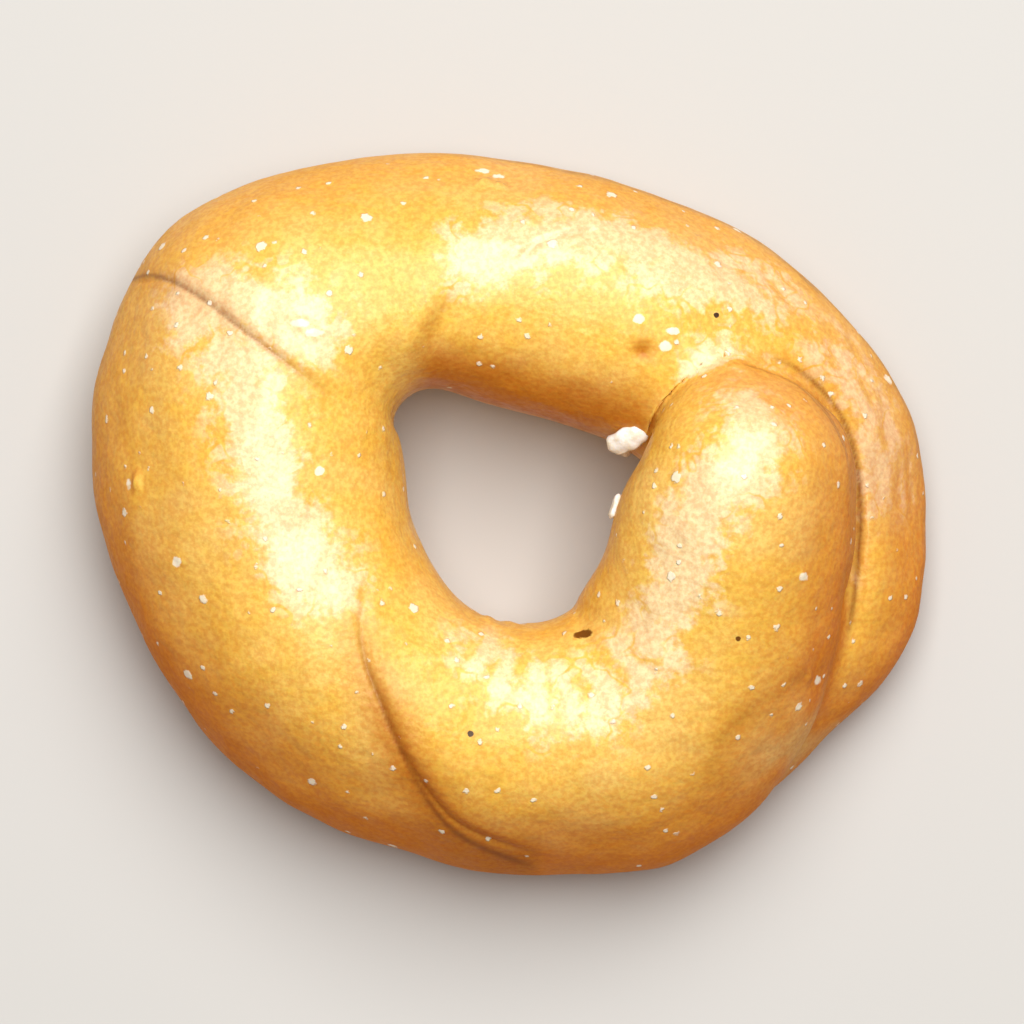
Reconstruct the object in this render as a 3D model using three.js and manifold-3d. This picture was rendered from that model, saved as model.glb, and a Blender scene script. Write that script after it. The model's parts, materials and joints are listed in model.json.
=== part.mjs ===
// A tarallo: a short rope of dough bent into a ring, one end laid over the other and pressed down,
// then boiled and baked in one piece, with grains of coarse salt stuck to the wall of its hole.
// Millimetres, +Z up. The ring lies flat, its base on z = 0 and centred on the origin, its long
// way along X. The ends overlap on its +X side.

import * as THREE from 'three';
import { mergeVertices } from 'three/addons/utils/BufferGeometryUtils.js';
import Module from 'manifold-3d';

const wasm = await Module();
wasm.setup();

// ---------- driving dimensions ----------

const RING_LENGTH = 45; // overall, along X
const RING_WIDTH = 38.8; // overall, along Y

const ROPE_WIDTH = 13.3; // across the rope on its even stretches
const ROPE_HEIGHT = 12.4; // from the base to the crown there
const SIDE_WIDTH = 17; // across the rope where it is fattest, opposite its ends
const SIDE_HEIGHT = 13.4;

const UPPER_END_WIDTH = 11; // the end that lies on top
const UPPER_END_HEIGHT = 10.4;
const UPPER_END_RAISE = 6; // how far the lower end lifts it off the base
const LOWER_END_WIDTH = 10.5; // the end that is tucked under
const LOWER_END_HEIGHT = 8;

const TIP_ROUNDING = 4.6; // length of each end that rounds off
const BASE_SINK = 1; // how much of the round underside is flattened onto the base

const GRAIN_LENGTH = 2; // of the largest salt grain
const GRAIN_WIDTH = 1.2;
const GRAIN_THICKNESS = 0.9;
const GRAIN_CLEARANCE = 0.3; // between a grain and the crust

const ROPE_SIDES = 28;
const ROPE_STEPS = 40; // in each half of the rope

// ---------- the route of the rope ----------

// The middle line reaches this far from its own centre. What is left of the overall sizes is half
// the rope's width at each side.
const middleLength = RING_LENGTH - (SIDE_WIDTH + ROPE_WIDTH) / 2;
const middleWidth = RING_WIDTH - ROPE_WIDTH;

// Stations from the upper end to the lower one, clockwise from above. x and y are shares of the
// middle line's half-length and half-width. raise is how far the underside is off the base.
const STATIONS = [
	{ x: 0.73, y: 0.66, width: UPPER_END_WIDTH * 0.78, height: UPPER_END_HEIGHT * 0.8, raise: UPPER_END_RAISE },
	{ x: 0.78, y: 0.3, width: UPPER_END_WIDTH * 0.96, height: UPPER_END_HEIGHT, raise: UPPER_END_RAISE },
	{ x: 0.755, y: 0, width: UPPER_END_WIDTH * 1.13, height: UPPER_END_HEIGHT * 1.08, raise: UPPER_END_RAISE * 0.85 },
	{ x: 0.7, y: -0.33, width: UPPER_END_WIDTH * 1.22, height: ROPE_HEIGHT * 0.98, raise: UPPER_END_RAISE * 0.5 },
	{ x: 0.57, y: -0.64, width: ROPE_WIDTH * 1.07, height: ROPE_HEIGHT * 1.02, raise: UPPER_END_RAISE * 0.18 },
	{ x: 0.35, y: -0.87, width: ROPE_WIDTH * 1.04, height: ROPE_HEIGHT * 1.02, raise: 0 },
	{ x: -0.02, y: -0.99, width: ROPE_WIDTH, height: ROPE_HEIGHT, raise: 0 },
	{ x: -0.42, y: -0.88, width: ROPE_WIDTH, height: ROPE_HEIGHT, raise: 0 },
	{ x: -0.73, y: -0.61, width: SIDE_WIDTH * 0.88, height: SIDE_HEIGHT * 0.95, raise: 0 },
	{ x: -0.94, y: -0.18, width: SIDE_WIDTH * 0.94, height: SIDE_HEIGHT * 0.98, raise: 0 },
	{ x: -1.01, y: 0.32, width: SIDE_WIDTH, height: SIDE_HEIGHT, raise: 0 },
	{ x: -0.88, y: 0.8, width: SIDE_WIDTH * 0.98, height: SIDE_HEIGHT, raise: 0 },
	{ x: -0.53, y: 0.98, width: ROPE_WIDTH * 1.05, height: ROPE_HEIGHT * 1.02, raise: 0 },
	{ x: -0.15, y: 1, width: ROPE_WIDTH, height: ROPE_HEIGHT, raise: 0 },
	{ x: 0.3, y: 0.89, width: ROPE_WIDTH, height: ROPE_HEIGHT, raise: 0 },
	{ x: 0.69, y: 0.66, width: ROPE_WIDTH, height: ROPE_HEIGHT * 0.92, raise: 0 },
	{ x: 0.97, y: 0.28, width: ROPE_WIDTH * 0.98, height: LOWER_END_HEIGHT * 1.2, raise: 0 },
	{ x: 1.1, y: -0.1, width: LOWER_END_WIDTH, height: LOWER_END_HEIGHT, raise: 0 },
	{ x: 1.05, y: -0.4, width: LOWER_END_WIDTH * 0.86, height: LOWER_END_HEIGHT * 0.88, raise: 0 },
	{ x: 0.86, y: -0.66, width: LOWER_END_WIDTH * 0.7, height: LOWER_END_HEIGHT * 0.7, raise: 0 },
];

// The rope's section is an oval that reaches BASE_SINK below its underside, so its middle is here.
const middleHeight = ( station ) => station.raise + ( station.height - BASE_SINK ) / 2;

const route = new THREE.CatmullRomCurve3( STATIONS.map( ( station ) => new THREE.Vector3(
	station.x * middleLength / 2, station.y * middleWidth / 2, middleHeight( station ) ) ) );

// The half-width and half-height of the section, along the same stations.
const girth = new THREE.CatmullRomCurve3( STATIONS.map( ( station ) => new THREE.Vector3(
	station.width / 2, ( station.height + BASE_SINK ) / 2, 0 ) ) );

// Which way the rope runs at a share t of its stations, taken over one station each way so that
// its sections fan evenly round the tight corner of the hole.
function heading( t ) {

	const reach = 1 / ( STATIONS.length - 1 );
	return route.getPoint( Math.min( t + reach, 1 ) ).sub( route.getPoint( Math.max( t - reach, 0 ) ) );

}

// A point of the rope at a share t of its stations. side and up run from -1 to 1 over the section,
// and side is positive towards the hole.
function ropePoint( t, side, up ) {

	const middle = route.getPoint( t );
	const half = girth.getPoint( t );
	const along = heading( t );
	const inward = new THREE.Vector3( along.y, - along.x, 0 ).normalize();
	return middle.addScaledVector( inward, side * half.x ).add( new THREE.Vector3( 0, 0, up * half.y ) );

}

// ---------- the ring ----------

// Half of the rope, from its tip at the share tip of the stations to the section at the share
// inner. A closed cylinder is laid along the route, and its rings shrink round the tip.
function ropeHalf( tip, inner ) {

	const roundedLength = tip === 0 ? TIP_ROUNDING : route.getLength() - TIP_ROUNDING;
	const rounding = Math.abs( route.getUtoTmapping( 0, roundedLength ) - tip );
	const roundedSteps = ROPE_STEPS / 5;
	const direction = Math.sign( inner - tip );
	const SMALLEST_RING = 0.06; // the tip closes on a disc of this share of its section

	const geometry = new THREE.CylinderGeometry( 1, 1, ROPE_STEPS, ROPE_SIDES, ROPE_STEPS );
	geometry.deleteAttribute( 'normal' );
	geometry.deleteAttribute( 'uv' );
	const position = geometry.getAttribute( 'position' );

	for ( let i = 0; i < position.count; i ++ ) {

		const step = Math.round( position.getY( i ) + ROPE_STEPS / 2 );
		const turn = Math.min( step / roundedSteps, 1 ) * Math.PI / 2;
		const ring = Math.max( Math.sin( turn ), SMALLEST_RING );
		const beyond = Math.max( step - roundedSteps, 0 ) / ( ROPE_STEPS - roundedSteps );
		const distance = rounding * ( 1 - Math.cos( turn ) )
			+ beyond * ( Math.abs( inner - tip ) - rounding );

		const point = ropePoint( tip + direction * distance,
			direction * position.getX( i ) * ring, position.getZ( i ) * ring );
		position.setXYZ( i, point.x, point.y, point.z );

	}

	return mergeVertices( geometry );

}

function toSolid( geometry ) {

	return new wasm.Manifold( new wasm.Mesh( {
		numProp: 3,
		vertProperties: Float32Array.from( geometry.getAttribute( 'position' ).array ),
		triVerts: Uint32Array.from( geometry.getIndex().array ),
	} ) );

}

function toGeometry( solid ) {

	const mesh = solid.getMesh();
	const geometry = new THREE.BufferGeometry();
	geometry.setAttribute( 'position', new THREE.BufferAttribute( mesh.vertProperties, 3 ) );
	geometry.setIndex( new THREE.BufferAttribute( mesh.triVerts, 1 ) );
	geometry.computeVertexNormals();
	return geometry;

}

// What lies below the base, to be cut off the rope's round underside.
function belowBase() {

	const depth = 4 * BASE_SINK;
	const box = new THREE.BoxGeometry( 2 * RING_LENGTH, 2 * RING_WIDTH, depth );
	box.deleteAttribute( 'normal' );
	box.deleteAttribute( 'uv' );
	return mergeVertices( box.translate( 0, 0, - depth / 2 ) );

}

function bakedRing() {

	const halfway = 0.5;
	const upperHalf = toSolid( ropeHalf( 0, halfway ) );
	const lowerHalf = toSolid( ropeHalf( 1, halfway ) );
	return toGeometry( upperHalf.add( lowerHalf ).subtract( toSolid( belowBase() ) ) );

}

// ---------- the salt grains ----------

// Each grain's size is a share of the largest one's. around is the angle up from the middle of
// the side that faces the hole, and turn is how it is turned from the rope's own direction. The
// first two lie on the lower strand, short of the upper end by that much more than the clearance.
// The third lies on the upper end, at a share t of the stations.
const GRAINS = [
	{ name: 'salt_grain_1', length: 1, width: 1, thickness: 1, shortOfEnd: 0, around: 0.5, turn: 0.9 },
	{ name: 'salt_grain_2', length: 0.45, width: 0.5, thickness: 0.6, shortOfEnd: 2.2, around: 0, turn: 0.3 },
	{ name: 'salt_grain_3', length: 0.75, width: 0.8, thickness: 0.6, t: 0.118, around: 0.1, turn: 0.15 },
];

function saltGrain( { length, width, thickness } ) {

	const geometry = new THREE.DodecahedronGeometry( 0.5 );
	geometry.deleteAttribute( 'normal' );
	geometry.deleteAttribute( 'uv' );
	geometry.scale( length * GRAIN_LENGTH, width * GRAIN_WIDTH, thickness * GRAIN_THICKNESS );
	return mergeVertices( geometry );

}

// The rope's surface at t, as a point, the way onward along the rope and the way out of the crust.
function crustAt( t, around ) {

	const small = 1e-3;
	const at = ( share, angle ) => ropePoint( share, Math.cos( angle ), Math.sin( angle ) );
	const point = at( t, around );
	const onward = at( t + small, around ).sub( point ).normalize();
	const climb = at( t, around + small ).sub( point );
	return { point, onward, out: new THREE.Vector3().crossVectors( onward, climb ).normalize() };

}

// Where the middle of a grain is when it lies on the crust at t.
function grainMiddle( { around, thickness }, t ) {

	const { point, out } = crustAt( t, around );
	return point.addScaledVector( out, thickness * GRAIN_THICKNESS / 2 + GRAIN_CLEARANCE );

}

// Points all over the skin of the upper end, where it overhangs the lower strand.
const upperEndSkin = [];
const overhangs = 0.2;
for ( let t = 0; t < overhangs; t += 0.01 ) {

	for ( let around = 0; around < 2 * Math.PI; around += 0.25 ) upperEndSkin.push( crustAt( t, around ).point );

}

// How far along the lower strand a grain can lie before it comes too near the upper end.
function shareShortOfEnd( grain ) {

	const onTopStrand = 0.65;
	const step = 0.002;
	const room = grain.length * GRAIN_LENGTH / 2 + GRAIN_CLEARANCE + grain.shortOfEnd;
	const isClear = ( t ) => upperEndSkin.every( ( skin ) => skin.distanceTo( grainMiddle( grain, t ) ) > room );
	let t = onTopStrand;
	while ( isClear( t + step ) ) t += step;
	return t;

}

function layOnCrust( mesh, grain ) {

	const t = grain.t ?? shareShortOfEnd( grain );
	const { onward, out } = crustAt( t, grain.around );
	const across = new THREE.Vector3().crossVectors( out, onward );
	mesh.quaternion.setFromRotationMatrix( new THREE.Matrix4().makeBasis( onward, across, out ) );
	mesh.rotateZ( grain.turn );
	mesh.position.copy( grainMiddle( grain, t ) );

}

// ---------- materials and assembly ----------

const crust = new THREE.MeshStandardMaterial( { color: 0xe3a542, roughness: 0.45, metalness: 0 } );
const salt = new THREE.MeshStandardMaterial( { color: 0xf6f0e4, roughness: 0.3, metalness: 0 } );

const tarallo = new THREE.Group();

const ring = new THREE.Mesh( bakedRing(), crust );
ring.name = 'baked_ring';
tarallo.add( ring );

for ( const grain of GRAINS ) {

	const mesh = new THREE.Mesh( saltGrain( grain ), salt );
	mesh.name = grain.name;
	layOnCrust( mesh, grain );
	tarallo.add( mesh );

}

// The origin is under the middle of the whole tarallo.
const extent = new THREE.Box3().setFromObject( tarallo, true );
const centre = extent.getCenter( new THREE.Vector3() );
tarallo.position.set( - centre.x, - centre.y, 0 );

export default tarallo;
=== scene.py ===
import json
import math

import bpy
import numpy as np
from mathutils import Matrix, Vector, noise
from mathutils.kdtree import KDTree

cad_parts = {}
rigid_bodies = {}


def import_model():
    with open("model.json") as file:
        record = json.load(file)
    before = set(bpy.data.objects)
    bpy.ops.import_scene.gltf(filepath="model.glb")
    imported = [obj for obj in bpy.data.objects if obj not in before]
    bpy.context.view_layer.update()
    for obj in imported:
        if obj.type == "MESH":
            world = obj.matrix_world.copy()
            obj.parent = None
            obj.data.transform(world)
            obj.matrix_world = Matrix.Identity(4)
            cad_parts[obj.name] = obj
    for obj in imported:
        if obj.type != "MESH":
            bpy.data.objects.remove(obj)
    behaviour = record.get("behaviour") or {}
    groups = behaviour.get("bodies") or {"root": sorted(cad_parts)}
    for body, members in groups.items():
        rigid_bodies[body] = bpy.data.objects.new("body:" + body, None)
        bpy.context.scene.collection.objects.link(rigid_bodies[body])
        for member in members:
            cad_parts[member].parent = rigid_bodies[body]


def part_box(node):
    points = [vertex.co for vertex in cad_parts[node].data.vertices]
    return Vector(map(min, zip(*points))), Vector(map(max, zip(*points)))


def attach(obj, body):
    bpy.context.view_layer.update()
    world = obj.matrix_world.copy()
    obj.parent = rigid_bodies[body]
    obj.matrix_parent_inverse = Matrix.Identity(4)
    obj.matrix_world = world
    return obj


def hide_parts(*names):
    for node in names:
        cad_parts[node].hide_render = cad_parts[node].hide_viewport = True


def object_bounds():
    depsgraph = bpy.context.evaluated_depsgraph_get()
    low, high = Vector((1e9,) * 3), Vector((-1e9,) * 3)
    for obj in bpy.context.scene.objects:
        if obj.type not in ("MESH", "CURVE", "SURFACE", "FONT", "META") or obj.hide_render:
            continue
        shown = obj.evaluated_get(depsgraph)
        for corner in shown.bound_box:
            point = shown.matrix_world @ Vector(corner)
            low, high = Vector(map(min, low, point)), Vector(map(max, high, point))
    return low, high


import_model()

cad_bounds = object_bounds()
MM = 0.001

# ---------- sizes of the rope of dough, in millimetres ----------

ROPE_WIDTH, ROPE_HEIGHT = 13.3, 12.4
SIDE_WIDTH, SIDE_HEIGHT = 17.0, 13.4
UPPER_WIDTH, UPPER_HEIGHT, UPPER_RAISE = 11.0, 10.4, 6.0
LOWER_WIDTH, LOWER_HEIGHT = 10.5, 8.0
BASE_SINK = 1.0
# The crust's mesh: its facets, and the height under which it is pressed level.
VOXEL = 0.27
LEVEL_BELOW = 0.12
# Pushes, in millimetres and as a share of the largest, and weights too small to count.
LEAST_PUSH, LEAST_SHARE, LEAST_WEIGHT = 0.001, 0.004, 0.02

# Stations from the upper end's tip to the lower end's, clockwise from above: the place as shares
# of the middle line's half-length and half-width, then the width, the height and the raise.
STATIONS = [
    (0.735, 0.675, UPPER_WIDTH * 0.66, UPPER_HEIGHT * 0.78, UPPER_RAISE),
    (0.79, 0.30, UPPER_WIDTH * 0.96, UPPER_HEIGHT, UPPER_RAISE),
    (0.755, 0.0, UPPER_WIDTH * 1.13, UPPER_HEIGHT * 1.08, UPPER_RAISE * 0.85),
    (0.70, -0.33, UPPER_WIDTH * 1.22, ROPE_HEIGHT * 0.98, UPPER_RAISE * 0.5),
    (0.59, -0.67, ROPE_WIDTH * 1.11, ROPE_HEIGHT * 1.02, UPPER_RAISE * 0.18),
    (0.36, -0.92, ROPE_WIDTH * 1.11, ROPE_HEIGHT * 1.02, 0.0),
    (-0.02, -0.99, ROPE_WIDTH, ROPE_HEIGHT, 0.0),
    (-0.42, -0.88, ROPE_WIDTH, ROPE_HEIGHT, 0.0),
    (-0.73, -0.61, SIDE_WIDTH * 0.88, SIDE_HEIGHT * 0.95, 0.0),
    (-0.94, -0.18, SIDE_WIDTH * 0.94, SIDE_HEIGHT * 0.98, 0.0),
    (-1.01, 0.32, SIDE_WIDTH, SIDE_HEIGHT, 0.0),
    (-0.88, 0.80, SIDE_WIDTH * 0.98, SIDE_HEIGHT, 0.0),
    (-0.53, 0.98, ROPE_WIDTH * 1.05, ROPE_HEIGHT * 1.02, 0.0),
    (-0.15, 1.00, ROPE_WIDTH, ROPE_HEIGHT, 0.0),
    (0.30, 0.89, ROPE_WIDTH, ROPE_HEIGHT, 0.0),
    (0.69, 0.66, ROPE_WIDTH, ROPE_HEIGHT * 0.92, 0.0),
    (0.97, 0.28, ROPE_WIDTH * 0.98, LOWER_HEIGHT * 1.2, 0.0),
    (1.10, -0.10, LOWER_WIDTH, LOWER_HEIGHT, 0.0),
    (1.04, -0.42, LOWER_WIDTH * 0.95, LOWER_HEIGHT * 1.05, 0.0),
    (0.84, -0.69, LOWER_WIDTH * 0.90, LOWER_HEIGHT * 1.12, 0.0),
    (0.66, -0.93, LOWER_WIDTH * 0.84, LOWER_HEIGHT * 1.10, 0.0),
    (0.44, -1.06, LOWER_WIDTH * 0.66, LOWER_HEIGHT * 0.90, 0.0),
]

# Lines on the crust, seen from above.
SEAM = [(11.7, 8.0), (13.7, 8.0), (15.5, 7.1), (17.2, 5.3), (18.1, 2.9), (18.4, 0.1),
        (18.2, -3.4), (17.7, -6.9)]
CREASE_A = [(-21.6, 12.2), (-19.1, 12.5), (-16.7, 11.3), (-14.4, 9.5), (-11.7, 7.4), (-8.2, 4.6)]
CREASE_B = [(-7.7, -2.1), (-8.0, -6.7), (-6.8, -10.4), (-5.0, -14.3), (-2.7, -17.1), (1.7, -18.9)]
CREASE_C = [(5.7, 15.2), (1.7, 14.1), (-0.6, 12.2)]
FOLD = [(-1.0, 12.0), (-3.0, 10.6), (-4.4, 8.7), (-5.1, 6.8)]
BAND_EDGE = [(18.6, -6.9), (14.8, -8.9), (11.4, -11.3), (10.4, -13.6), (10.0, -15.9)]
# Lines along the rope's crown where a cream highlight is painted into the colour, partly the crust's
# paler skin, and where the crust is glossy.
PAINTED_HIGHLIGHT_LINES = [
    [(-14.5, 7.9), (-13.5, 4.6), (-12.8, 1.3), (-11.5, -2.0), (-9.9, -3.6)],
    [(-2.0, 13.2), (2.0, 14.3), (5.3, 14.3), (8.5, 12.9), (11.2, 12.5), (14.2, 12.0)],
    [(10.9, 7.2), (12.5, 5.3), (12.6, 3.0), (10.6, 1.0), (9.2, -1.3), (8.6, -4.0), (6.6, -8.2)],
    [(-1.2, -7.4), (1.3, -9.7), (4.0, -9.9), (6.2, -8.6)],
    [(-18.0, 10.6), (-13.2, 10.6), (-10.8, 9.4)],
    [(17.6, 9.0), (19.6, 5.6), (20.3, 1.5)],
]
PAINTED_HIGHLIGHT_REACH = 2.3
DIMPLE = (6.8, 8.3)
# Blisters and the dimple: the place, the length and width, the height, the turn, and how hollow.
BLISTERS = [((-11.0, 9.5), (2.4, 1.1), 0.16, -0.5, 0.0), ((-1.4, 18.0), (1.4, 0.6), 0.14, 0.6, 0.0),
            ((-0.6, 17.9), (1.2, 0.5), 0.14, -0.5, 0.0), ((20.2, 7.4), (1.5, 1.3), 0.20, 0.0, 1.2),
            ((-20.2, 1.4), (0.7, 1.6), 0.16, 0.0, 0.0), (DIMPLE, (1.7, 1.1), -0.22, 0.0, 0.0)]
# Small pale blisters: the place, and half the length and width.
PALE_BLISTERS = [((8.0, 8.5), (0.30, 0.26)), ((8.4, 9.3), (0.32, 0.20)), ((6.6, 9.9), (0.28, 0.24)),
                 ((-1.5, 18.1), (0.40, 0.16)), ((-0.7, 17.8), (0.36, 0.16)),
                 ((-11.1, 9.6), (0.46, 0.20)), ((-10.4, 9.1), (0.46, 0.20)),
                 ((-20.2, 1.4), (0.18, 0.45)), ((20.2, 7.3), (0.36, 0.30)),
                 ((-10.1, 1.9), (0.24, 0.24)), ((-17.6, -2.8), (0.24, 0.26)),
                 ((16.1, -9.0), (0.22, 0.30)), ((15.2, -3.7), (0.28, 0.22))]
PALE_BLISTER_SPREAD, PALE_BLISTER_HEIGHT = 2.4, 0.12
# The hole's middle, the corner where it is pulled square, and by how much and how widely.
HOLE = (0.5, -0.5)
HOLE_CORNER, CORNER_PULL, CORNER_REACH = (-4.4, 5.2), 1.0, 1.9
# How far the crown leans towards the hole.
CROWN_LEAN = 1.1
# The side of a line that something is on, going along the line.
LEFT, RIGHT = 1, -1


# ---------- bench work: small helpers for operators ----------

def put_down_everything():
    if bpy.context.object and bpy.context.object.mode != "OBJECT":
        bpy.ops.object.mode_set(mode="OBJECT")
    bpy.ops.object.select_all(action="DESELECT")


def pick_up(piece):
    put_down_everything()
    piece.select_set(True)
    bpy.context.view_layer.objects.active = piece


def settle(piece):
    """Applies the piece's place, turn and size to its mesh."""
    pick_up(piece)
    bpy.ops.object.transform_apply(location=True, rotation=True, scale=True)


def finish_with(piece, kind, **settings):
    """Adds a modifier to the piece and applies it at once."""
    pick_up(piece)
    bpy.ops.object.modifier_add(type=kind)
    modifier = piece.modifiers[-1]
    for name, value in settings.items():
        setattr(modifier, name, value)
    bpy.ops.object.modifier_apply(modifier=modifier.name)


def choose_vertices(piece, chosen):
    """Opens the piece for editing with only the chosen vertices selected."""
    pick_up(piece)
    bpy.ops.object.mode_set(mode="EDIT")
    bpy.ops.mesh.select_mode(type="VERT")
    bpy.ops.mesh.select_all(action="DESELECT")
    bpy.ops.object.mode_set(mode="OBJECT")
    piece.data.vertices.foreach_set("select", chosen)
    bpy.ops.object.mode_set(mode="EDIT")


def corners(piece):
    """The piece's vertices in millimetres."""
    found = np.empty(len(piece.data.vertices) * 3)
    piece.data.vertices.foreach_get("co", found)
    return found.reshape(-1, 3) / MM


def facing(piece):
    """The way that each of the piece's vertices faces."""
    found = np.empty(len(piece.data.vertices) * 3)
    piece.data.vertices.foreach_get("normal", found)
    return found.reshape(-1, 3)


def push_out(piece, heights):
    """Moves each of the piece's vertices out along its normal by its height in millimetres."""
    for way in (1, -1):
        part = np.clip(heights * way, 0, None)
        most = part.max()
        if most < LEAST_PUSH:
            continue
        group = piece.vertex_groups.new(name="push")
        for index in np.flatnonzero(part > most * LEAST_SHARE):
            group.add([int(index)], float(part[index] / most), "REPLACE")
        finish_with(piece, "DISPLACE", strength=float(most * way) * MM, mid_level=0.0,
                    direction="NORMAL", vertex_group=group.name)
        piece.vertex_groups.clear()


def ramp(values, start, stop):
    """0 before start and 1 after stop, with a smooth rise between; start may be past stop."""
    t = np.clip((values - start) / (stop - start), 0, 1)
    return t * t * (3 - 2 * t)


# ---------- the rope ----------

def smooth_between(values, share):
    """A Catmull-Rom curve through the rows of values, at a share from 0 to 1 of the way."""
    place = share * (len(values) - 1)
    k = min(int(place), len(values) - 2)
    t = place - k
    first = values[k - 1] if k > 0 else 2 * values[0] - values[1]
    last = values[k + 2] if k + 2 < len(values) else 2 * values[-1] - values[-2]
    a, b = values[k], values[k + 1]
    return 0.5 * (2 * a + (b - first) * t + (2 * first - 5 * a + 4 * b - last) * t ** 2
                  + (3 * a - first - 3 * b + last) * t ** 3)


def rope_sections():
    """(middle, heading, width, height) for each section of the rope, tip to tip, in metres."""
    low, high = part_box("baked_ring")
    half_length = ((high[0] - low[0]) / MM - (SIDE_WIDTH + ROPE_WIDTH) / 2) / 2
    half_width = ((high[1] - low[1]) / MM - ROPE_WIDTH) / 2
    stations = np.array(STATIONS) * (half_length, half_width, 1, 1, 1)
    # The shares of the rope's length that its rounded tips take up, and the sections between them.
    tip, steps, tip_steps = 0.045, 48, 7
    quarter = np.linspace(0.1, 1, tip_steps) * math.pi / 2
    ends, rounding = (1 - np.cos(quarter)) * tip, np.sin(quarter)
    shares = [*ends, *np.linspace(tip, 1 - tip, steps)[1:-1], *(1 - ends[::-1])]
    rounds = [*rounding, *np.ones(steps - 2), *rounding[::-1]]
    reach = 1 / (len(STATIONS) - 1)
    sections = []
    for share, rounded in zip(shares, rounds):
        x, y, width, height, rise = smooth_between(stations, share)
        ahead = smooth_between(stations, min(share + reach, 1))
        behind = smooth_between(stations, max(share - reach, 0))
        heading = math.atan2(ahead[1] - behind[1], ahead[0] - behind[0])
        middle = Vector((x, y, rise + (height - BASE_SINK) / 2)) * MM
        sections.append((middle, heading, width * rounded * MM, (height + BASE_SINK) * rounded * MM))
    return sections


def turn_section(angle, middle):
    bpy.ops.transform.rotate(value=-angle, orient_axis="Z", center_override=middle)


def roll_rope():
    """Draws a disc of dough out along the ring, one section after another."""
    sections = rope_sections()
    middle, heading, width, height = sections[0]
    put_down_everything()
    bpy.ops.mesh.primitive_circle_add(vertices=28, radius=0.5, fill_type="NGON", location=middle,
                                      rotation=(math.pi / 2, 0, heading + math.pi / 2))
    rope = bpy.context.object
    rope.name = "baked_ring_crust"
    settle(rope)
    bpy.ops.object.mode_set(mode="EDIT")
    bpy.ops.mesh.select_all(action="SELECT")
    size, was = (1.0, 1.0), heading
    for place, (middle, heading, width, height) in enumerate(sections):
        if place:
            step = middle - sections[place - 1][0]
            bpy.ops.mesh.extrude_region_move(TRANSFORM_OT_translate={"value": step})
        turn_section(-was, middle)
        bpy.ops.transform.resize(value=(1, width / size[0], height / size[1]), center_override=middle)
        turn_section(heading, middle)
        size, was = (width, height), heading
    bpy.ops.mesh.select_all(action="SELECT")
    bpy.ops.mesh.normals_make_consistent(inside=False)
    bpy.ops.object.mode_set(mode="OBJECT")
    return rope


def set_on_base(rope):
    """Centres the ring on its CAD box and cuts its round underside off level with the surface."""
    low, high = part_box("baked_ring")
    spots = corners(rope) * MM
    middle = (spots.min(axis=0) + spots.max(axis=0)) / 2
    wanted = (Vector(low) + Vector(high)) / 2
    pick_up(rope)
    bpy.ops.transform.translate(value=(wanted.x - middle[0], wanted.y - middle[1], 0))
    settle(rope)
    bpy.ops.object.mode_set(mode="EDIT")
    bpy.ops.mesh.select_all(action="SELECT")
    bpy.ops.mesh.bisect(plane_co=(0, 0, 0), plane_no=(0, 0, 1), use_fill=True, clear_inner=True)
    bpy.ops.object.mode_set(mode="OBJECT")


def press_flat(piece, height):
    """Brings what is below the height, in millimetres, level with the surface it stands on."""
    choose_vertices(piece, corners(piece)[:, 2] < height)
    bpy.ops.transform.resize(value=(1, 1, 0), center_override=(0, 0, 0))
    bpy.ops.object.mode_set(mode="OBJECT")


def refine(piece, lines, reach):
    """Gives the crust a finer mesh along the lines, so that their creases stay thin."""
    spots = corners(piece)
    near = np.zeros(len(spots), bool)
    for line in lines:
        near |= beside(spots, line)[0] < reach
    near &= facing(piece)[:, 2] > -0.2
    choose_vertices(piece, near)
    bpy.ops.mesh.subdivide(number_cuts=1)
    bpy.ops.object.mode_set(mode="OBJECT")


def keep_whole(piece):
    """Throws away crumbs that the remesh leaves, and keeps the one large body."""
    leftmost = corners(piece)[:, 0].argmin()
    choose_vertices(piece, np.arange(len(piece.data.vertices)) == leftmost)
    bpy.ops.mesh.select_linked()
    bpy.ops.mesh.select_all(action="INVERT")
    bpy.ops.mesh.delete(type="VERT")
    bpy.ops.object.mode_set(mode="OBJECT")


def soften(piece, weights, rounds):
    """Smooths the crust where the weights say."""
    group = piece.vertex_groups.new(name="soft")
    for index in np.flatnonzero(weights > LEAST_WEIGHT):
        group.add([int(index)], float(weights[index]), "REPLACE")
    finish_with(piece, "SMOOTH", factor=0.5, iterations=rounds, vertex_group=group.name)
    piece.vertex_groups.clear()


# ---------- the crust's creases, folds and blisters ----------

def drawn(line, steps=24):
    """The line through the points, drawn out smoothly."""
    line = np.array(line, float)
    return np.array([smooth_between(line, t) for t in np.linspace(0, 1, steps)])


def beside(spots, line):
    """Each spot's distance from a drawn line, its side (1 left, -1 right) and share of the way."""
    line = drawn(line)
    lengths = np.linalg.norm(np.diff(line, axis=0), axis=1)
    nearest = np.full(len(spots), np.inf)
    side, share = np.zeros(len(spots)), np.zeros(len(spots))
    done = 0.0
    for start, stop, length in zip(line[:-1], line[1:], lengths):
        way = (stop - start) / length
        off = spots[:, :2] - start
        along = np.clip(off @ way, 0, length)
        distance = np.linalg.norm(off - along[:, None] * way, axis=1)
        nearer = distance < nearest
        nearest[nearer] = distance[nearer]
        side[nearer] = np.sign(way[0] * off[nearer, 1] - way[1] * off[nearer, 0])
        share[nearer] = (done + along[nearer]) / lengths.sum()
        done += length
    return nearest, side, share


def fading(share, start=0.12, stop=0.12):
    """1 along most of a line, falling to 0 over its first and last shares."""
    return ramp(share, 0, start) * ramp(share, 1, 1 - stop)


def groove(spots, line, width, depth, start=0.12, stop=0.12):
    """A thin furrow along a line, fading out at its ends."""
    distance, _, share = beside(spots, line)
    return -depth * np.exp(-(distance / width) ** 2) * fading(share, start, stop)


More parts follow.
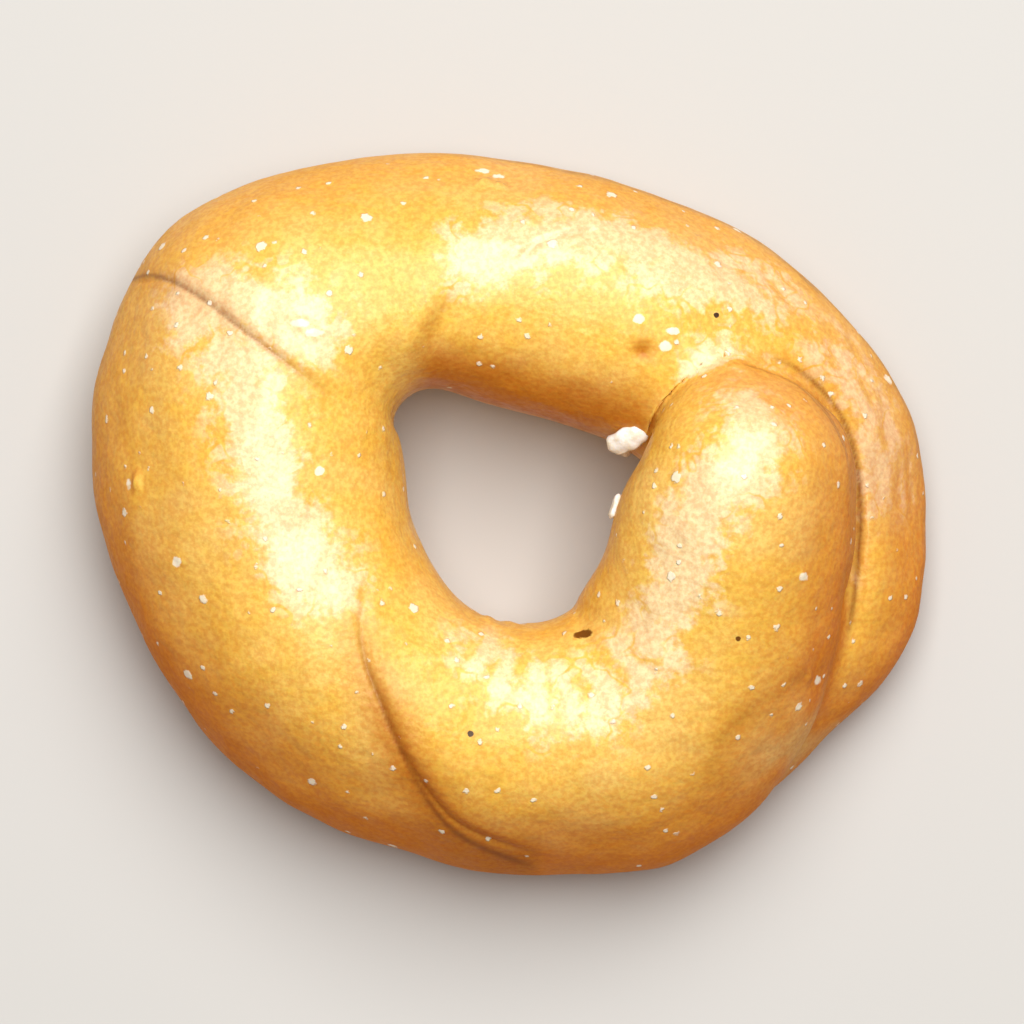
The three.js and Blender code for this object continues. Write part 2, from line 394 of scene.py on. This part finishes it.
def swelling(spots, line, side, reach, height, edge=0.45, start=0.2, stop=0.2):
    """A roll of crust that rises along one side of a line and dies away over reach."""
    distance, sides, share = beside(spots, line)
    rise = ramp(distance, 0, edge) * np.exp(-(distance / reach) ** 2)
    return height * rise * (sides == side) * fading(share, start, stop)


def blister(spots, place, size, height, turn=0.0, hollow=0.0):
    """A low dome, longer than wide where size says so; hollow makes it a ring-shaped crater."""
    off = spots[:, :2] - place
    c, s = math.cos(turn), math.sin(turn)
    across = np.hypot((off[:, 0] * c + off[:, 1] * s) / (size[0] / 2),
                      (off[:, 1] * c - off[:, 0] * s) / (size[1] / 2))
    dome = np.clip(1 - across ** 2, 0, 1) ** 1.5
    return height * (dome - hollow * np.exp(-(across / 0.45) ** 2) * (across < 1.2))


def uneven(spots, size, seed):
    """Soft lumps of about the given size in millimetres, from -1 to 1."""
    return np.array([noise.noise(Vector(spot) / size + Vector((seed, 0, 0))) for spot in spots])


def painted_highlight_along(spots):
    """1 on the lines of painted highlight and glossy skin, dying away beside them."""
    return np.maximum.reduce([np.exp(-(beside(spots, line)[0] / PAINTED_HIGHLIGHT_REACH) ** 2) for line in PAINTED_HIGHLIGHT_LINES])


def front_streaks(spots):
    """Streaks that run out from the hole over the front stretch, from -1 to 1, and where they are."""
    x, y, _ = spots.T
    away = np.hypot(x - 1.0, y + 1.0)
    angle = np.arctan2(y + 1.0, x - 1.0) + 0.03 * uneven(spots, size=2.0, seed=5.0)
    patch = (ramp(angle, -2.3, -2.0) * ramp(angle, -0.45, -0.9)
             * ramp(away, 4.0, 6.0) * ramp(away, 12.5, 9.0))
    streaks_round = 31
    return np.sin(angle * streaks_round + 2.2 * uneven(spots, size=3.0, seed=1.0)), patch


def raise_features(piece):
    spots, out = corners(piece), facing(piece)
    top = ramp(out[:, 2], -0.15, 0.25)
    x, y, z = spots.T

    lumps = 0.28 * uneven(spots, size=6.5, seed=3.1) + 0.10 * uneven(spots, size=2.6, seed=9.4)
    above_base = ramp(z, 0.2, 2.5)
    heights = lumps * above_base

    # The rope's crown leans a little towards the hole.
    inward = -np.stack([x - HOLE[0], y - HOLE[1]], axis=1)
    inward /= np.linalg.norm(inward, axis=1)[:, None]
    lean = (out[:, 0] * inward[:, 0] + out[:, 1] * inward[:, 1]) * ramp(out[:, 2], -0.5, 1.0)
    heights += CROWN_LEAN * lean

    # The hole's back left corner is pulled square where the two stretches meet.
    corner = np.hypot(x - HOLE_CORNER[0], y - HOLE_CORNER[1])
    heights -= CORNER_PULL * np.exp(-(corner / CORNER_REACH) ** 2) * above_base

    # Creases where the dough was turned, and the rolls beside them.
    marks = groove(spots, CREASE_A, width=0.14, depth=0.09, start=0.1, stop=0.25)
    marks += swelling(spots, CREASE_A, LEFT, reach=2.8, height=0.16, edge=0.6)
    marks += groove(spots, CREASE_B, width=0.16, depth=0.12, start=0.4)
    marks += swelling(spots, CREASE_B, LEFT, reach=3.4, height=0.26, edge=0.7, start=0.5)
    marks += groove(spots, CREASE_C, width=0.25, depth=0.05, start=0.3, stop=0.3)
    marks += swelling(spots, CREASE_C, RIGHT, reach=2.2, height=0.10)
    marks += groove(spots, FOLD, width=0.6, depth=0.06, start=0.5, stop=0.4)
    marks += swelling(spots, FOLD, RIGHT, reach=3.0, height=0.50, edge=1.5, start=0.5, stop=0.3)
    marks += groove(spots, SEAM, width=0.18, depth=0.20, start=0.1, stop=0.15)
    marks += swelling(spots, SEAM, LEFT, reach=2.2, height=0.35, edge=0.5, start=0.25, stop=0.3)

    # Fine wrinkles that run out from the hole over the inner side of the front stretch.
    streaks, patch = front_streaks(spots)
    marks += 0.075 * streaks * patch * ramp(uneven(spots, size=2.4, seed=6.0), -0.35, 0.45)

    for place, size, height, turn, hollow in BLISTERS:
        marks += blister(spots, place, size, height, turn, hollow)
    for place, half_size in PALE_BLISTERS:
        marks += blister(spots, place, np.array(half_size) * PALE_BLISTER_SPREAD, PALE_BLISTER_HEIGHT)
    heights += marks * top

    # The paler, flatter band low on the outer side by the lower end.
    distance, sides, share = beside(spots, BAND_EDGE)
    band = (sides == LEFT) * ramp(distance, 0.0, 2.0) * fading(share, 0.3, 0.3) * ramp(z, 0.6, 3.0)
    band *= (x > 8) * (y < -5)
    heights -= 0.10 * band

    # Long low wrinkles in the shiny skin.
    wrinkles = uneven(spots * (1.0, 0.45, 1.0), size=1.0, seed=12.0) * painted_highlight_along(spots)
    heights += 0.09 * wrinkles * top
    push_out(piece, heights)


# ---------- masks that the crust's material reads ----------

def store(piece, name, values):
    attribute = piece.data.attributes.new(name, "FLOAT", "POINT")
    attribute.data.foreach_set("value", np.clip(values, 0, 1).astype(np.float32))


def mark_crust(piece):
    """Stores where the crust is creased, where shade is painted, where it is bare, its flanks with
    painted shade towards the front, and where a highlight is painted and the crust is glossy.
    """
    spots, out = corners(piece), facing(piece)
    top = ramp(out[:, 2], -0.2, 0.2)
    x, y, z = spots.T

    def line_mark(line, width, start, stop):
        distance, _, share = beside(spots, line)
        return np.exp(-(distance / width) ** 2) * fading(share, start, stop)

    crease = np.maximum.reduce([
        0.75 * line_mark(CREASE_A, width=0.12, start=0.05, stop=0.45),
        0.85 * line_mark(CREASE_B, width=0.16, start=0.5, stop=0.1),
        0.2 * line_mark(CREASE_C, width=0.15, start=0.3, stop=0.3),
        0.9 * line_mark(SEAM, width=0.14, start=0.25, stop=0.1),
        0.2 * line_mark(BAND_EDGE, width=0.3, start=0.35, stop=0.45)]) * top
    # A thin browned line inside the pale edge of the crust, round the back right side.
    bearing = np.arctan2(y, x)
    quarter = ramp(bearing, 0.0, 0.3) * ramp(bearing, 1.9, 1.5)
    outer = quarter * (np.hypot(x, y) > 14) * (z > 1.0)
    crease = np.maximum(crease, 0.5 * outer * np.exp(-((out[:, 2] - 0.24) / 0.06) ** 2))
    store(piece, "crease", crease)

    # Painted shade beside the creases, the seam and the band's edge, and on the hole's back wall, which
    # faces away from the light; the dimple is darker too.
    back_wall = (ramp(-out[:, 1], 0.25, 0.75) * ramp(y, 2.5, 5.0) * (y < 13)
                 * ramp(x, -6.0, -4.0) * ramp(x, 9.5, 6.5))
    painted_shade_and_dimple = np.maximum.reduce([
        back_wall,
        0.95 * line_mark(CREASE_B, width=1.3, start=0.55, stop=0.05),
        0.30 * line_mark(CREASE_A, width=0.8, start=0.2, stop=0.4),
        0.45 * line_mark(SEAM, width=1.0, start=0.2, stop=0.2),
        0.4 * line_mark(BAND_EDGE, width=0.9, start=0.35, stop=0.4),
        np.exp(-((np.hypot(x - DIMPLE[0], y - DIMPLE[1]) / 0.55) ** 2))])
    store(piece, "painted_shade_and_dimple", painted_shade_and_dimple * top)

    # Bare, paler skin: the band by the lower end, the foot, and the edge outside the browned line.
    distance, sides, share = beside(spots, BAND_EDGE)
    band = (sides == LEFT) * ramp(distance, 0.0, 2.6) * fading(share, 0.4, 0.4) * (x > 8) * (y < -5)
    band *= ramp(z, 1.5, 5.5) * ramp(uneven(spots, size=2.2, seed=4.0), -0.6, 0.3)
    foot = ramp(out[:, 2] + 0.12 * uneven(spots, size=2.5, seed=7.0), -0.55, -0.95)
    edge = outer * ramp(out[:, 2], 0.20, 0.10) * ramp(out[:, 2], -0.4, -0.1)
    store(piece, "pale_skin", np.maximum.reduce([band * 0.75, foot, edge * 0.6]))

    # The rope's flanks, most of all on the ring's outer and front sides: amber partly as the crust's
    # own browning, partly as painted shade, which grows towards the front side, away from the light.
    off_x, off_y = x - HOLE[0], y - HOLE[1]
    outward = (out[:, 0] * off_x + out[:, 1] * off_y) / np.hypot(off_x, off_y)
    flank_and_painted_shade = (1 - ramp(out[:, 2], 0.36, 1.10)) * (0.25 + 0.75 * ramp(outward, -0.2, 0.4))
    store(piece, "side", flank_and_painted_shade * (0.45 + 0.55 * ramp(y, 13, -9)))

    # Where a cream highlight is painted into the colour, partly the crust's paler skin; it also sets
    # where the crust gets its glossy coat.
    streaks, patch = front_streaks(spots)
    gloss_and_painted_highlight = painted_highlight_along(spots) * (1 - 0.5 * patch * (0.5 - 0.5 * streaks))
    store(piece, "gloss_and_painted_highlight", gloss_and_painted_highlight * ramp(out[:, 2], 0.35, 0.8))


# ---------- nodes ----------

class Nodes:
    """Places nodes in a tree and links them by name."""

    def __init__(self, tree):
        self.tree = tree

    def add(self, kind, **settings):
        node = self.tree.nodes.new(kind)
        for name, value in settings.items():
            setattr(node, name, value)
        return node

    def link(self, start, end):
        self.tree.links.new(start, end)

    def plug(self, value, socket):
        """Links another node's output to the socket, or sets the socket to a plain value."""
        if hasattr(value, "is_output"):
            self.link(value, socket)
        else:
            socket.default_value = value

    def feed(self, node, **values):
        for name, value in values.items():
            self.plug(value, node.inputs[name.replace("_", " ")])

    def maths(self, operation, a, b=0.0, clamp=False):
        node = self.add("ShaderNodeMath", operation=operation, use_clamp=clamp)
        for socket, value in zip(node.inputs, (a, b)):
            self.plug(value, socket)
        return node.outputs[0]

    def mix(self, share, a, b, blend="MIX"):
        node = self.add("ShaderNodeMix", data_type="RGBA", blend_type=blend)
        # A mix node keeps sockets for every kind of value: these are the share and the two colours.
        for place, value in ((0, share), (6, a), (7, b)):
            self.plug(value, node.inputs[place])
        return node.outputs[2]

    def noise(self, place, size, detail=2.0, rough=0.5):
        """Noise with features of about the given size in millimetres."""
        node = self.add("ShaderNodeTexNoise")
        self.feed(node, Vector=place, Scale=1 / (size * MM), Detail=detail, Roughness=rough)
        return node.outputs["Fac"]

    def spread(self, value, low, high, to_low=0.0, to_high=1.0):
        node = self.add("ShaderNodeMapRange", interpolation_type="SMOOTHSTEP")
        self.link(value, node.inputs["Value"])
        self.feed(node, From_Min=low, From_Max=high, To_Min=to_low, To_Max=to_high)
        return node.outputs["Result"]


def new_group(name, inputs, outputs):
    """A shader node group with named sockets; returns it, its nodes, and its inside sockets."""
    tree = bpy.data.node_groups.new(name, "ShaderNodeTree")
    for socket, kind, value in inputs:
        made = tree.interface.new_socket(name=socket, in_out="INPUT", socket_type=kind)
        if value is not None:
            made.default_value = value
    for socket, kind in outputs:
        tree.interface.new_socket(name=socket, in_out="OUTPUT", socket_type=kind)
    nodes = Nodes(tree)
    return tree, nodes, nodes.add("NodeGroupInput").outputs, nodes.add("NodeGroupOutput").inputs


FLOAT, COLOUR, VECTOR = "NodeSocketFloat", "NodeSocketColor", "NodeSocketVector"
WHITE = (1, 1, 1, 1)
# How ragged a fleck's outline is, and how soft, in millimetres.
FLECK_ROUGHNESS, FLECK_EDGE = 0.30, 0.07
# How deep under the skin a dark speck and a pale blister's colour go.
SPECK_DEPTH, BLISTER_DEPTH = 0.5, 0.6


def make_crust_colour():
    """Baked dough: golden, paler in soft patches, amber on its flanks and more so towards the front as
    painted shade, brown in its creases, with painted shade by the creases and on the hole's wall and a
    painted cream highlight.
    """
    group, n, given, out = new_group("baked crust colour", [
        ("Position", VECTOR, None), ("Gold", COLOUR, WHITE), ("Pale", COLOUR, WHITE),
        ("Amber", COLOUR, WHITE), ("Toast", COLOUR, WHITE), ("Brown", COLOUR, WHITE),
        ("Bare", COLOUR, WHITE), ("Side", FLOAT, 0.0), ("Crease", FLOAT, 0.0),
        ("Browned", FLOAT, 0.0), ("Bare skin", FLOAT, 0.0), ("Cream", COLOUR, WHITE),
        ("Sheen", FLOAT, 0.0)], [("Colour", COLOUR)])
    place = given["Position"]
    patches = n.spread(n.noise(place, 5.5, detail=3.0, rough=0.55), 0.40, 0.66)
    mottle = n.spread(n.noise(place, 1.3, detail=4.0, rough=0.65), 0.35, 0.70)
    grain = n.spread(n.noise(place, 0.28, rough=0.6), 0.30, 0.70)
    shade = n.mix(n.maths("MULTIPLY", patches, 0.55), given["Gold"], given["Pale"])
    shade = n.mix(n.maths("MULTIPLY", mottle, 0.30), shade, given["Pale"])
    # The painted highlight's cream blotches, parted by thin golden veins.
    streaks = n.spread(n.noise(place, 1.5, detail=4.0, rough=0.65), 0.32, 0.62)
    veins = n.maths("ABSOLUTE", n.maths("SUBTRACT", n.noise(place, 2.3), 0.5))
    streaks = n.maths("MULTIPLY", streaks, n.spread(veins, 0.0, 0.035, 0.35, 1.0))
    patch = n.spread(n.maths("ADD", given["Sheen"], n.maths("MULTIPLY", streaks, 0.60)), 0.60, 1.15)
    shade = n.mix(n.maths("MULTIPLY", patch, 0.9), shade, given["Cream"])
    # Amber on the flanks: partly the crust's own browning, partly painted shade towards the front.
    side = n.maths("MULTIPLY", given["Side"], 0.95)
    shade = n.mix(side, shade, given["Amber"])
    # Painted shade beside the creases and on the hole's back wall, and the darker dimple.
    shade = n.mix(n.maths("MULTIPLY", given["Browned"], 0.85), shade, given["Toast"])
    shade = n.mix(given["Bare skin"], shade, given["Bare"])
    shade = n.mix(n.maths("MULTIPLY", given["Crease"], 0.8), shade, given["Brown"])
    grained = n.mix(n.maths("MULTIPLY", grain, 0.34), shade, given["Amber"], "MULTIPLY")
    n.link(grained, out["Colour"])
    return group


def make_flecks():
    """Tiny pale flecks scattered through the surface, as a mask."""
    group, n, given, out = new_group("pale flecks", [
        ("Position", VECTOR, None), ("Spacing", FLOAT, 1.5), ("Radius", FLOAT, 0.2)],
        [("Mask", FLOAT)])
    voronoi = n.add("ShaderNodeTexVoronoi", feature="F1", distance="EUCLIDEAN")
    per_metre = n.maths("DIVIDE", 1 / MM, given["Spacing"])
    n.link(given["Position"], voronoi.inputs["Vector"])
    n.link(per_metre, voronoi.inputs["Scale"])
    distance = n.maths("MULTIPLY", voronoi.outputs["Distance"], given["Spacing"])
    rough = n.maths("MULTIPLY", n.noise(given["Position"], 0.22), FLECK_ROUGHNESS)
    edge = n.maths("SUBTRACT", given["Radius"], distance)
    ragged = n.maths("ADD", edge, n.maths("SUBTRACT", rough, FLECK_ROUGHNESS / 2))
    mask = n.maths("DIVIDE", ragged, FLECK_EDGE, clamp=True)
    n.link(mask, out["Mask"])
    return group


def make_speck():
    """One dark speck at a place, with a ragged edge, as a mask."""
    group, n, given, out = new_group("dark speck", [
        ("Position", VECTOR, None), ("Place", VECTOR, None), ("Half size", VECTOR, (1, 1, 1))],
        [("Mask", FLOAT)])
    off = n.add("ShaderNodeVectorMath", operation="SUBTRACT")
    n.link(given["Position"], off.inputs[0])
    n.link(given["Place"], off.inputs[1])
    shares = n.add("ShaderNodeVectorMath", operation="DIVIDE")
    n.link(off.outputs[0], shares.inputs[0])
    n.link(given["Half size"], shares.inputs[1])
    length = n.add("ShaderNodeVectorMath", operation="LENGTH")
    n.link(shares.outputs[0], length.inputs[0])
    ragged = n.maths("ADD", length.outputs["Value"], n.noise(given["Position"], 0.3))
    n.link(n.spread(ragged, 1.75, 1.35), out["Mask"])
    return group


def make_crust_relief():
    """The crust's fine relief in millimetres: orange peel, pores and a fine grain."""
    group, n, given, out = new_group("crust relief", [
        ("Position", VECTOR, None), ("Flecks", FLOAT, 0.0), ("Peel", FLOAT, 0.06),
        ("Grain", FLOAT, 0.02)], [("Height", FLOAT)])
    place = given["Position"]
    peel = n.maths("MULTIPLY", n.noise(place, 1.1, rough=0.55), given["Peel"])
    grain = n.maths("MULTIPLY", n.noise(place, 0.5, detail=3.0, rough=0.65), given["Grain"])
    total = n.maths("ADD", n.maths("ADD", peel, grain), n.maths("MULTIPLY", given["Flecks"], 0.05))
    n.link(total, out["Height"])
    return group


GROUPS = {"colour": make_crust_colour(), "flecks": make_flecks(), "speck": make_speck(),
          "relief": make_crust_relief()}


def use(n, name, **values):
    """Puts one of the groups to work and returns its output."""
    node = n.add("ShaderNodeGroup", node_tree=GROUPS[name])
    n.feed(node, **values)
    return node.outputs[0]


def roughen(n, shader, height):
    """Gives the shader a fine relief whose height is in millimetres."""
    bump = n.add("ShaderNodeBump")
    bump.inputs["Strength"].default_value = 1.0
    bump.inputs["Distance"].default_value = MM
    n.link(height, bump.inputs["Height"])
    n.link(bump.outputs["Normal"], shader.inputs["Normal"])


def new_material(name):
    material = bpy.data.materials.new(name)
    material.use_nodes = True
    n = Nodes(material.node_tree)
    return material, n, material.node_tree.nodes["Principled BSDF"]


GOLD = (0.88, 0.555, 0.085, 1)
PALE = (0.92, 0.67, 0.21, 1)
# Amber for the flanks: partly the crust's own browning, partly painted shade.
AMBER = (0.69, 0.19, 0.001, 1)
# The brown of painted shade by the creases and on the hole's back wall, and of the dimple.
PAINTED_SHADE_BROWN = (0.52, 0.155, 0.004, 1)
BROWN = (0.20, 0.048, 0.006, 1)
BARE = (0.76, 0.44, 0.13, 1)
# The cream of a painted highlight, partly the crust's paler skin.
PAINTED_HIGHLIGHT_CREAM = (0.98, 0.81, 0.46, 1)
FLECK = (0.93, 0.84, 0.66, 1)
CHARRED, TOASTED = (0.045, 0.015, 0.006, 1), (0.17, 0.055, 0.006, 1)
SALT_WHITE, SALT_STAINED = (0.95, 0.93, 0.88, 1), (0.88, 0.80, 0.64, 1)
SALT_RELIEF = 0.06
# Dark specks: the place, half the length and width, and the colour.
SPECKS = [((10.7, 10.2), (0.15, 0.14), CHARRED), ((3.6, -6.5), (0.55, 0.24), TOASTED),
          ((-2.2, -11.8), (0.15, 0.15), CHARRED), ((11.7, -6.9), (0.12, 0.12), TOASTED),
          ((-21.1, 12.2), (0.2, 0.15), CHARRED)]


def make_crust(surface):
    """Baked crust; surface gives the point of the crust above a place, for its specks."""
    material, n, shader = new_material("baked_crust")
    place = n.add("ShaderNodeTexCoord").outputs["Object"]
    masks = {}
    # The masks: crease lines, painted shade, bare skin, flanks with painted shade, and painted
    # highlight with gloss.
    for name in ("crease", "painted_shade_and_dimple", "pale_skin", "side", "gloss_and_painted_highlight"):
        masks[name] = n.add("ShaderNodeAttribute", attribute_name=name).outputs["Fac"]
    flecks = n.maths("MAXIMUM", use(n, "flecks", Position=place, Spacing=1.5, Radius=0.18),
                     use(n, "flecks", Position=place, Spacing=3.7, Radius=0.32))
    colour = use(n, "colour", Position=place, Gold=GOLD, Pale=PALE, Amber=AMBER, Toast=PAINTED_SHADE_BROWN,
                 Brown=BROWN, Bare=BARE, Cream=PAINTED_HIGHLIGHT_CREAM, Side=masks["side"], Crease=masks["crease"],
                 Browned=masks["painted_shade_and_dimple"], Bare_skin=masks["pale_skin"], Sheen=masks["gloss_and_painted_highlight"])
    colour = n.mix(n.maths("MULTIPLY", flecks, 0.8), colour, FLECK)
    for (x, y), (along, across), burnt in SPECKS:
        mask = use(n, "speck", Position=place, Place=surface(x, y),
                   Half_size=(along * MM, across * MM, SPECK_DEPTH * MM))
        colour = n.mix(mask, colour, burnt)
    for (x, y), (along, across) in PALE_BLISTERS:
        mask = use(n, "speck", Position=place, Place=surface(x, y),
                   Half_size=(along * MM, across * MM, BLISTER_DEPTH * MM))
        colour = n.mix(n.maths("MULTIPLY", mask, 0.85), colour, FLECK)
    roughen(n, shader, use(n, "relief", Position=place, Flecks=flecks, Peel=0.13, Grain=0.045))
    dry = n.maths("MULTIPLY", n.maths("MAXIMUM", masks["pale_skin"], masks["side"]), 0.38)
    worn = n.spread(n.noise(place, 1.6, detail=3.0, rough=0.6), 0.35, 0.65, to_low=0.27, to_high=0.42)
    n.link(n.maths("ADD", worn, dry, clamp=True), shader.inputs["Roughness"])
    n.link(colour, shader.inputs["Base Color"])
    n.link(n.maths("MULTIPLY", masks["gloss_and_painted_highlight"], 0.7), shader.inputs["Coat Weight"])
    shader.inputs["Coat Roughness"].default_value = 0.24
    shader.inputs["IOR"].default_value = 1.5
    shader.inputs["Specular IOR Level"].default_value = 0.32
    shader.inputs["Specular Tint"].default_value = (1.0, 0.86, 0.62, 1)
    shader.inputs["Subsurface Weight"].default_value = 0.08
    shader.inputs["Subsurface Radius"].default_value = (1.0, 0.45, 0.15)
    shader.inputs["Subsurface Scale"].default_value = 1.2 * MM
    return material


def make_salt():
    """Coarse white salt with a few stained patches."""
    material, n, shader = new_material("salt")
    place = n.add("ShaderNodeTexCoord").outputs["Object"]
    frost = n.spread(n.noise(place, 0.35, detail=3.0, rough=0.6), 0.35, 0.65)
    n.link(n.mix(frost, SALT_WHITE, SALT_STAINED), shader.inputs["Base Color"])
    n.link(n.spread(frost, 0.0, 1.0, 0.3, 0.55), shader.inputs["Roughness"])
    roughen(n, shader, n.maths("MULTIPLY", n.noise(place, 0.3, detail=3.0), SALT_RELIEF))
    shader.inputs["Subsurface Weight"].default_value = 0.2
    shader.inputs["Subsurface Radius"].default_value = (1.0, 0.9, 0.7)
    shader.inputs["Subsurface Scale"].default_value = 0.4 * MM
    return material


# ---------- build the crust ----------

ring = roll_rope()
finish_with(ring, "SUBSURF", levels=2, render_levels=2)
set_on_base(ring)
finish_with(ring, "REMESH", mode="VOXEL", voxel_size=VOXEL * MM)
keep_whole(ring)
finish_with(ring, "SMOOTH", factor=0.5, iterations=8)
for line, reach, rounds in ((SEAM, 1.6, 40), (BAND_EDGE, 2.5, 60)):
    soften(ring, np.exp(-(beside(corners(ring), line)[0] / reach) ** 2), rounds)
refine(ring, [CREASE_A, CREASE_B, CREASE_C, SEAM], reach=0.7)
raise_features(ring)
soften(ring, ramp(corners(ring)[:, 2], 1.4, 0.4), rounds=25)
press_flat(ring, LEVEL_BELOW)
mark_crust(ring)
pick_up(ring)
bpy.ops.object.shade_smooth()

MIDDLING_HEIGHT = 6.0
ring_spots, ring_facing = corners(ring), facing(ring)
skin = KDTree(len(ring_spots))
for index, spot in enumerate(ring_spots):
    skin.insert(spot, index)
skin.balance()


def on_top(x, y):
    """The point of the crust straight above (x, y), in metres, or beside the ring a middling height."""
    near = np.hypot(ring_spots[:, 0] - x, ring_spots[:, 1] - y) < 0.3
    height = ring_spots[near, 2].max() if near.any() else MIDDLING_HEIGHT
    return Vector((x, y, height)) * MM


ring.data.materials.clear()
ring.data.materials.append(make_crust(on_top))
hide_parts("baked_ring")
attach(ring, "root")


# ---------- the salt grains ----------

def set_grain(node, size, turn, sunk, lift, seed):
    """A blunt crystal of a length, width and thickness, laid on the crust at its CAD place.

    turn is the angle of its length, sunk its depth in the crust, and lift tips it upwards.
    """
    low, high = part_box(node)
    wanted = (Vector(low) + Vector(high)) / 2 / MM
    spot, index, _ = skin.find(wanted)
    out = (Vector(ring_facing[index]).normalized() + Vector((0, 0, lift))).normalized()
    along = Vector((math.cos(turn), math.sin(turn), 0))
    along = (along - out * along.dot(out)).normalized()
    across = out.cross(along)
    middle = (Vector(spot) + out * (size[2] / 2 - sunk)) * MM
    put_down_everything()
    bpy.ops.mesh.primitive_cube_add(size=1, location=(0, 0, 0))
    grain = bpy.context.object
    grain.name = node + "_crystal"
    bpy.ops.object.mode_set(mode="EDIT")
    bpy.ops.mesh.select_all(action="SELECT")
    bpy.ops.mesh.subdivide(number_cuts=9)
    bpy.ops.object.mode_set(mode="OBJECT")
    finish_with(grain, "CAST", cast_type="SPHERE", factor=0.75)
    pick_up(grain)
    grain.scale = Vector([length / reach for length, reach in zip(size, grain.dimensions)]) * MM
    settle(grain)
    push_out(grain, 0.14 * size[2] * uneven(corners(grain), 0.55, seed))
    grain.matrix_world = Matrix.Translation(middle) @ Matrix((along, across, out)).transposed().to_4x4()
    settle(grain)
    bpy.ops.object.shade_smooth()
    grain.data.materials.clear()
    grain.data.materials.append(SALT)
    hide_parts(node)
    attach(grain, "root")


SALT = make_salt()
set_grain("salt_grain_1", (2.4, 1.4, 1.0), turn=0.65, sunk=0.2, lift=1.0, seed=2.0)
set_grain("salt_grain_2", (0.8, 0.6, 0.5), turn=0.3, sunk=0.12, lift=0.5, seed=5.0)
set_grain("salt_grain_3", (1.4, 0.75, 0.4), turn=1.35, sunk=0.08, lift=0.2, seed=8.0)


# ---------- floor, light and camera ----------

# Places and sizes here are in metres. The floor lies just under the base, so they don't share a plane.
FLOOR_COLOUR, FLOOR_SIZE = (0.58, 0.56, 0.53, 1), 2.0
FLOOR_DROP = 0.02 * MM
KEY_PLACE, KEY_SIZE, KEY_POWER = (0.04, 0.16, 0.44), (0.34, 0.52), 3.45
WORLD_COLOUR, WORLD_STRENGTH = (1.0, 0.965, 0.91, 1), 0.24
CAMERA_LENS = 300
CAMERA_ELEVATION, CAMERA_AZIMUTH = math.radians(87), math.radians(-10)
# How much the camera takes in from side to side.
FIELD = 0.054

put_down_everything()
bpy.ops.mesh.primitive_plane_add(size=FLOOR_SIZE, location=(0, 0, -FLOOR_DROP))
floor = bpy.context.object
floor.name = "floor"
floor_material, _, floor_shader = new_material("pale_floor")
floor_shader.inputs["Base Color"].default_value = FLOOR_COLOUR
floor_shader.inputs["Roughness"].default_value = 0.9
floor.data.materials.append(floor_material)

low, high = cad_bounds
centre = (Vector(low) + Vector(high)) / 2


def softbox(name, place, size, power):
    bpy.ops.object.light_add(type="AREA", location=place)
    lamp = bpy.context.object
    lamp.name = name
    lamp.data.shape = "RECTANGLE"
    lamp.data.size, lamp.data.size_y = size
    lamp.data.energy = power
    lamp.rotation_mode = "QUATERNION"
    lamp.rotation_quaternion = (centre - Vector(place)).to_track_quat("-Z", "Y")


softbox("key_softbox", KEY_PLACE, KEY_SIZE, KEY_POWER)
world = bpy.data.worlds.new("studio")
bpy.context.scene.world = world
world.use_nodes = True
world.node_tree.nodes["Background"].inputs["Color"].default_value = WORLD_COLOUR
world.node_tree.nodes["Background"].inputs["Strength"].default_value = WORLD_STRENGTH

camera_data = bpy.data.cameras.new("camera")
camera_data.lens = CAMERA_LENS
camera_data.clip_start, camera_data.clip_end = 0.01, 10
camera = bpy.data.objects.new("camera", camera_data)
bpy.context.scene.collection.objects.link(camera)
bpy.context.scene.camera = camera
back = Vector((math.sin(CAMERA_AZIMUTH) * math.cos(CAMERA_ELEVATION),
               -math.cos(CAMERA_AZIMUTH) * math.cos(CAMERA_ELEVATION), math.sin(CAMERA_ELEVATION)))
right = Vector((0, 1, 0)).cross(back).normalized()
camera.location = centre + back * FIELD / camera_data.sensor_width * CAMERA_LENS
camera.rotation_mode = "QUATERNION"
camera.rotation_quaternion = Matrix((right, back.cross(right), back)).transposed().to_quaternion()
bpy.context.scene.view_settings.view_transform = "Standard"
